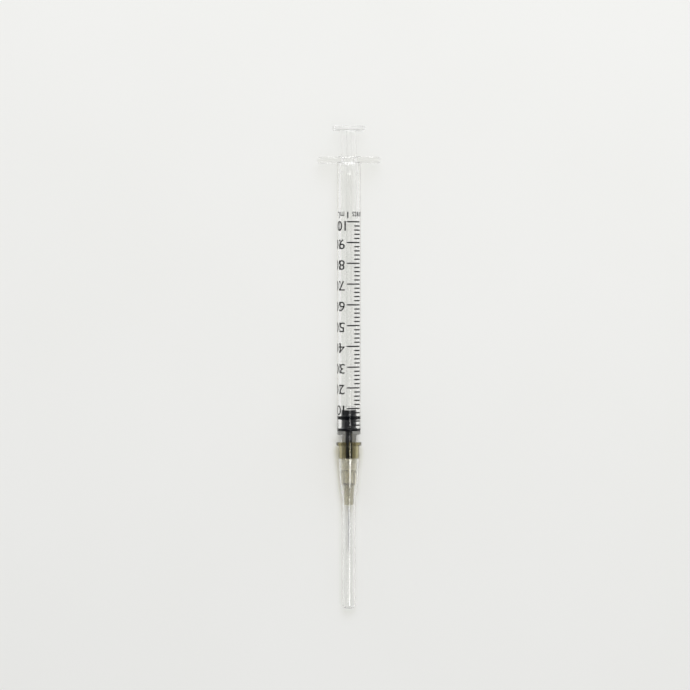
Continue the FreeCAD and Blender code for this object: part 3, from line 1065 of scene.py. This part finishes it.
cap = {
    "mouth": -7.667,
    "shoulder": -15.567,
    "tubeStart": -18.967,
    "tip": -49.417,
    "wall": 0.45,
    "mouthRadius": 2.88,
    "shoulderRadius": 2.50,
    "tubeRadius": 1.90,
    "mouthEdge": 0.12,
    "mouthInnerEdge": 0.10,
    "shoulderBend": 3.0,
    "endRound": 1.15,
    "arcSteps": 8,
    "turns": 160,
}


# Inside radius of the cap's wide mouth, a straight cone from mouth to shoulder.
def capMouthInside(along):
    share = (cap["mouth"] - along) / (cap["mouth"] - cap["shoulder"])
    return cap["mouthRadius"] - cap["wall"] + (cap["shoulderRadius"] - cap["mouthRadius"]) * share


# Hub skin: an outline carried round the axis. On the finned rows the radius at each turn is
# max(core, min(fin's reach, half fin thickness / |sin|)), measured from the middle of the nearest fin.
def makeHub(sizes):
    near = np.radians(np.concatenate([np.linspace(*band) for band in sizes["turnBands"]]))
    quarter = np.concatenate([near, (math.pi / 2 - near[::-1])[1:-1]])
    turns = np.concatenate([quarter + k * math.pi / 2 for k in range(4)])

    # Radius of the nozzle, a 6% cone, plus its clearance.
    def coneInside(along):
        nozzle = barrel["nozzleTipRadius"] + (along - barrel["nozzleTip"]) * taper / 2
        return nozzle + sizes["coneClearance"]

    # Radius inside the cap's mouth less its clearance.
    def seatOutside(along):
        return capMouthInside(along) - sizes["capClearance"]

    mouth = coneInside(sizes["mouth"])
    rear = roundedOutline([
        (mouth, sizes["mouth"], 0),
        (sizes["rimRadius"], sizes["mouth"], sizes["rimEdge"]),
        (sizes["rimRadius"], sizes["rimFront"], sizes["rimEdge"]),
        (sizes["bodyRadius"], sizes["rimFront"], sizes["rimEdge"]),
        (sizes["bodyRadius"], sizes["bodyFront"], sizes["bodyEdge"]),
        (seatOutside(sizes["bodyFront"]), sizes["bodyFront"], sizes["seatRoot"]),
        (seatOutside(sizes["seatEnd"]), sizes["seatEnd"], sizes["seatEdge"]),
        (sizes["coreRadius"], sizes["seatEnd"], 0),
    ])
    finStart = [sizes["seatEnd"], sizes["seatEnd"] - sizes["finRootRow"], sizes["finMiddle"]]
    tipRows = np.array(sizes["finTipRows"])
    finRows = np.concatenate([finStart, sizes["finFront"] + tipRows[:, 0]])
    reach = seatOutside(finRows) - np.concatenate([np.zeros(len(finStart)), tipRows[:, 1]])
    fromFin = np.abs((turns + math.pi / 4) % (math.pi / 2) - math.pi / 4)
    side = sizes["halfFin"] / np.maximum(np.abs(np.sin(fromFin)), tiny)
    finRadii = np.maximum(sizes["coreRadius"], np.minimum(reach[:, None], side[None, :]))
    wellEnd = sizes["noseTip"] + sizes["wellDepth"]
    forward = roundedOutline([
        (sizes["coreRadius"], sizes["finFront"], 0),
        (sizes["noseBase"], sizes["finFront"], sizes["noseRoot"]),
        (sizes["noseTipRadius"], sizes["noseTip"], sizes["noseEdge"]),
        (sizes["wellRadius"], sizes["noseTip"], sizes["wellEdge"]),
        (sizes["wellRadius"], wellEnd, sizes["wellBend"]),
        (sizes["needleHole"], wellEnd, sizes["needleHoleEdge"]),
        (sizes["needleHole"], sizes["coreBoreEnd"], sizes["needleHoleEdge"]),
        (sizes["coreBore"], sizes["coreBoreEnd"], sizes["coreBoreBend"]),
        (sizes["coreBore"], sizes["cavityEnd"], sizes["coreBoreEdge"]),
        (coneInside(sizes["cavityEnd"]), sizes["cavityEnd"], sizes["cavityBend"]),
        (mouth, sizes["mouth"], sizes["mouthEdge"]),
        (sizes["rimRadius"], sizes["mouth"], 0),
    ])
    radii = np.concatenate([roundRows(rear, turns), finRadii, roundRows(forward, turns)])
    alongs = np.concatenate([rear[:, 1], finRows, forward[:, 1]])
    mesh = skin("hubMoulding", roundGrid(radii, alongs, turns))
    addPiece(mesh, hubBrown, "needle", ["needle_hub"])


makeHub(hub)


cannula = {
    "radius": 0.225,
    "bore": 0.13,
    "hubEnd": -14.597,
    "hubEndEdge": 0.03,
    "hubEndBoreEdge": 0.02,
    "tip": -33.567,
    "bevelAngle": 12.0,
    "bevelGuard": 0.2,  # from the bevel's heel to the row that keeps the tube's shading straight
    "arcSteps": 3,
    "turns": 64,
}


# Needle skin: slanted end, outside, square end and bore. On the slanted end
# along = tip + (up + radius) / tan(bevel angle), so that the opening looks up and the point is below.
def makeCannula(sizes):
    turns = evenTurns(sizes["turns"])
    radius = sizes["radius"]
    bore = sizes["bore"]
    slope = math.tan(math.radians(sizes["bevelAngle"]))

    # Where the slanted end meets a tube of radius reach, at each turn.
    def slant(reach):
        return sizes["tip"] + (reach * np.cos(turns) + radius) / slope

    square = roundedOutline([
        (radius, sizes["tip"], 0),
        (radius, sizes["hubEnd"], sizes["hubEndEdge"]),
        (bore, sizes["hubEnd"], sizes["hubEndBoreEdge"]),
        (bore, sizes["tip"], 0),
    ], arcSteps=sizes["arcSteps"])
    clear = np.full(len(turns), sizes["tip"] + 2 * radius / slope + sizes["bevelGuard"])
    squareAlongs = np.repeat(square[:, 1:], len(turns), axis=1)
    alongs = np.concatenate([[slant(radius), clear], squareAlongs, [clear, slant(bore)]])
    radii = np.concatenate([[radius, radius], square[:, 0], [bore, bore]])
    mesh = skin("needleTube", roundGrid(radii, alongs, turns))
    addPiece(mesh, steelDrawn, "needle", ["cannula"])


glue = {
    "wellGap": 0.008,
    "needleGap": 0.002,
    "rimWidth": 0.01,  # at the top of its climb
    "climb": 0.25,
    "steps": 9,
    "turns": 64,
}


# Glue: fills the nose's well and climbs the needle in a hollow curve,
# radius = top + (well - top) * (1 - t)^2.
def makeGlue(sizes, nose, needle):
    inner = needle["radius"] + sizes["needleGap"]
    wide = nose["wellRadius"] - sizes["wellGap"]
    top = inner + sizes["rimWidth"]
    face = nose["noseTip"]
    bottom = face + nose["wellDepth"] - sizes["wellGap"]
    t = np.linspace(0, 1, sizes["steps"])[1:]
    climb = np.stack([top + (wide - top) * (1 - t) ** 2, face - sizes["climb"] * t], -1)
    outline = np.concatenate([
        [(inner, bottom), (wide, bottom), (wide, face)],
        climb,
        [(inner, face - sizes["climb"])],
    ])
    mesh = turnedSkin("glueDrop", outline, sizes["turns"])
    addPiece(mesh, glueClear, "needle", ["glue_bead"])


makeCannula(cannula)
makeGlue(glue, hub, cannula)


# Cap skin: an outline carried round the axis, from the pole outside its closed end, over the tube, shoulder
# and mouth, to the pole inside.
def makeCap(sizes):
    wall = sizes["wall"]
    tube = sizes["tubeRadius"]
    mouth = sizes["mouthRadius"]
    bend = sizes["shoulderBend"]
    innerShoulder = sizes["shoulder"] + wall
    innerTip = sizes["tip"] + wall
    outline = roundedOutline([
        (0.0, sizes["tip"], 0),
        (tube, sizes["tip"], sizes["endRound"]),
        (tube, sizes["tubeStart"], bend),
        (sizes["shoulderRadius"], sizes["shoulder"], bend),
        (mouth, sizes["mouth"], sizes["mouthEdge"]),
        (mouth - wall, sizes["mouth"], sizes["mouthInnerEdge"]),
        (capMouthInside(innerShoulder), innerShoulder, bend - wall),
        (tube - wall, sizes["tubeStart"], bend + wall),
        (tube - wall, innerTip, sizes["endRound"] - wall),
        (0.0, innerTip, 0),
    ], arcSteps=sizes["arcSteps"])
    poles = [(0.0, sizes["tip"], 0.0), (0.0, innerTip, 0.0)]
    mesh = turnedSkin("capMoulding", outline, sizes["turns"], poles)
    addPiece(mesh, capNatural, "cap", ["needle_cap"])


makeCap(cap)
